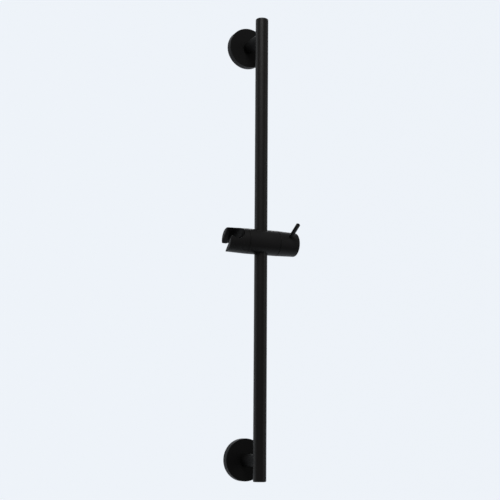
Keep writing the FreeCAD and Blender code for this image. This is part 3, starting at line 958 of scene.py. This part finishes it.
@dataclass
class Slider:
    """Slider body on its liners, with the handset cradle and its pivot."""

    pivot_pitch: float = 1.0 * MILLIMETRE
    finishes: dict[str, Finish] = field(default_factory=lambda: {
        "slider_body": SLIDER_COAT, "cradle": SLIDER_COAT,
        "upper_liner": LINER_NYLON, "lower_liner": LINER_NYLON,
        "cradle_washer": LINER_NYLON, "cradle_spring": SCREW_STEEL,
    })

    def build(self, wardrobe: Wardrobe) -> None:
        """Dress the pieces and make the cradle's screw."""
        wardrobe.dress_all(self.finishes)
        CradleScrew("cradle_screw", Body.SLIDER, Heading.RIGHT, self.pivot_pitch).build(wardrobe)


@dataclass
class Lock:
    """Knob with its lever, spindle and brake pad."""

    spindle_pitch: float = 1.5 * MILLIMETRE
    finishes: dict[str, Finish] = field(default_factory=lambda: {
        "lock_knob": SLIDER_COAT, "lever_pin": SLIDER_COAT, "brake_pad": LINER_NYLON,
    })

    def build(self, wardrobe: Wardrobe) -> None:
        """Dress the pieces and make the spindle."""
        wardrobe.dress_all(self.finishes)
        LockSpindle("lock_spindle", Body.KNOB, Heading.RIGHT, self.spindle_pitch).build(wardrobe)


@dataclass(frozen=True)
class Lamp:
    """Oblong soft box that looks at a point, by default the middle of the rail."""

    name: str
    place: Place
    width: float
    height: float
    watts: float
    target: Place = (0.0, -0.05, 0.0)

    def build(self) -> None:
        """Add the lamp to the scene."""
        data = bpy.data.lights.new(self.name, "AREA")
        data.shape = "RECTANGLE"
        data.size = self.width
        data.size_y = self.height
        data.energy = self.watts
        lamp = bpy.data.objects.new(self.name, data)
        lamp.location = self.place
        aim = Vector(self.target) - Vector(self.place)
        lamp.rotation_euler = aim.to_track_quat("-Z", "Y").to_euler()
        bpy.context.scene.collection.objects.link(lamp)
        LOG.info("lamp %s of %.0f W", self.name, self.watts)


@dataclass
class Studio:
    """Pale sweep, soft lamps and a dim room round the object.

    The key lamp hangs above the camera, one long lamp stands behind at the left and one in front at the
    right, and a soft lamp hangs behind.
    """

    pale: Colour = (0.868, 0.909, 0.960)
    floor_height: float = -4.0
    wall_place: float = 2.40
    sweep_radius: float = 0.80
    sweep_steps: int = 25
    half_width: float = 6.0
    front_edge: float = -1.0
    wall_top: float = 4.0
    soft_edge: float = 1.5
    seen_share: float = 0.97
    room: Colour = (0.28, 0.28, 0.285)
    fall_with_height: float = 0.45
    fade: tuple[float, float] = (-0.15, 0.35)
    lamps: tuple[Lamp, ...] = (
        Lamp("key", (-0.70, -1.30, 1.60), width=1.2, height=0.7, watts=46.0, target=(0.0, -0.05, 0.15)),
        Lamp("left", (-1.75, 0.75, 0.35), width=0.4, height=1.8, watts=3.0),
        Lamp("right", (1.55, -1.26, 0.20), width=0.12, height=1.6, watts=5.0),
        Lamp("back", (0.70, 1.70, 1.10), width=0.9, height=0.9, watts=7.0),
    )

    def sweep_points(self) -> np.ndarray:
        """Grid of the sweep.

        The profile runs straight along the floor, turns up through a quarter circle and runs straight up the
        wall; it is carried sideways along X.

        Returns:
            Array of profile points by sides by 3.
        """
        turn = np.linspace(-FULL_TURN / 4, 0, self.sweep_steps)
        arc_y = self.wall_place - self.sweep_radius + self.sweep_radius * np.cos(turn)
        arc_z = self.floor_height + self.sweep_radius + self.sweep_radius * np.sin(turn)
        profile_y = np.concatenate([[self.front_edge], arc_y, [self.wall_place]])
        profile_z = np.concatenate([[self.floor_height], arc_z, [self.wall_top]])
        across = np.array([-self.half_width, self.half_width])
        grid_x, grid_y = np.meshgrid(across, profile_y)
        grid_z = np.repeat(profile_z[:, None], len(across), axis=1)
        return np.stack([grid_x, grid_y, grid_z], axis=-1)

    def seen(self, tree: ShaderTree) -> Signal:
        """Share of the plain pale colour, for the rays that look at the background.

        Args:
            tree: Tree of the sweep's material or of the world.

        Returns:
            The share, 0 for the rays that carry light.
        """
        path = tree.add("ShaderNodeLightPath")
        total = sum((tree.signal(path, ray.value) for ray in Ray), start=0.0)
        return total.at_most(1.0) * self.seen_share

    def build_sweep(self) -> None:
        """Add floor and backdrop, matt for the lamps, plain pale for the camera and clear at the borders."""
        points = self.sweep_points()
        sweep = new_piece("sweep", points, grid_quads(*points.shape[:2], closed=False))
        tree = ShaderTree.of_material("sweep_paper")
        paper = tree.add("ShaderNodeBsdfDiffuse", {}, {"Color": (*self.pale, 1.0)})
        plain = tree.add("ShaderNodeEmission", {}, {"Color": (*self.pale, 1.0), "Strength": 1.0})
        mixed = tree.add("ShaderNodeMixShader", {},
                         {0: self.seen(tree), 1: paper.outputs[0], 2: plain.outputs[0]})
        across, back, up = tree.parts(tree.place())
        solid = (across.size().smooth_step(self.half_width, self.half_width - self.soft_edge)
                 * back.smooth_step(self.front_edge, self.front_edge + self.soft_edge)
                 * up.smooth_step(self.wall_top, self.wall_top - self.soft_edge))
        clear = tree.add("ShaderNodeBsdfTransparent")
        faded = tree.add("ShaderNodeMixShader", {}, {0: solid, 1: clear.outputs[0], 2: mixed.outputs[0]})
        sweep.data.materials.append(tree.finish(faded.outputs[0]))

    def build_room(self) -> None:
        """Add the world: dim grey for the light it gives, and pale where the eye looks backwards or down.

        The pale share is a smooth step of the ray's y less a part of its z, so that no edge of the sweep
        stands out.
        """
        tree = ShaderTree.of_world("room")
        _, back, up = tree.parts(tree.add("ShaderNodeTexCoord").outputs["Generated"])
        share = (back - up * self.fall_with_height).smooth_step(*self.fade)
        colour = tree.mix_colour(share * self.seen(tree), self.room, self.pale)
        background = tree.add("ShaderNodeBackground", {}, {"Color": colour})
        bpy.context.scene.world = tree.finish(background.outputs[0])

    def build(self) -> None:
        """Build the whole studio."""
        self.build_sweep()
        self.build_room()
        for lamp in self.lamps:
            lamp.build()


@dataclass
class PhotoCamera:
    """Camera where the picture was taken, found from the rail's edges, the flanges and the slider."""

    azimuth: float = math.radians(24.2955)
    distance: float = 1.68059
    height: float = -0.279783
    pitch: float = math.radians(9.3947)
    yaw: float = math.radians(0.2953)
    roll: float = math.radians(0.3941)
    focal_pixels: float = 1134.527
    sensor: float = 36.0

    def axes(self) -> tuple[Vector, Vector, Vector]:
        """Directions of the camera, turned by its yaw, pitch and roll.

        Returns:
            Its right, up and forward.
        """
        heading = self.azimuth + self.yaw
        level = math.cos(self.pitch)
        forward = Vector((math.sin(heading) * level, math.cos(heading) * level, math.sin(self.pitch)))
        right = Vector((math.cos(heading), -math.sin(heading), 0.0))
        up = right.cross(forward)
        rolled_right = right * math.cos(self.roll) + up * math.sin(self.roll)
        rolled_up = up * math.cos(self.roll) - right * math.sin(self.roll)
        return rolled_right, rolled_up, forward

    def build(self) -> None:
        """Add the camera and make it the scene's own."""
        data = bpy.data.cameras.new("photo_camera")
        data.sensor_width = self.sensor
        data.lens = self.focal_pixels * self.sensor / IMAGE_PIXELS
        camera = bpy.data.objects.new("photo_camera", data)
        right, up, forward = self.axes()
        place = Vector((-math.sin(self.azimuth), -math.cos(self.azimuth), 0.0)) * self.distance
        place.z = self.height
        turn = Matrix((right, up, -forward)).transposed()
        camera.matrix_world = Matrix.Translation(place) @ turn.to_4x4()
        bpy.context.scene.collection.objects.link(camera)
        bpy.context.scene.camera = camera


def main() -> None:
    """Load the frame, dress every sub-assembly and set up the studio."""
    logging.basicConfig(level=logging.INFO, format="%(name)s: %(message)s")
    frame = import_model()
    wardrobe = Wardrobe(frame["nodes"])
    for assembly in (Rail(), Fixing(Side.UPPER), Fixing(Side.LOWER), Slider(), Lock()):
        assembly.build(wardrobe)
    Studio().build()
    PhotoCamera().build()
    bpy.context.scene.view_settings.view_transform = "Standard"


if __name__ == "__main__":
    main()
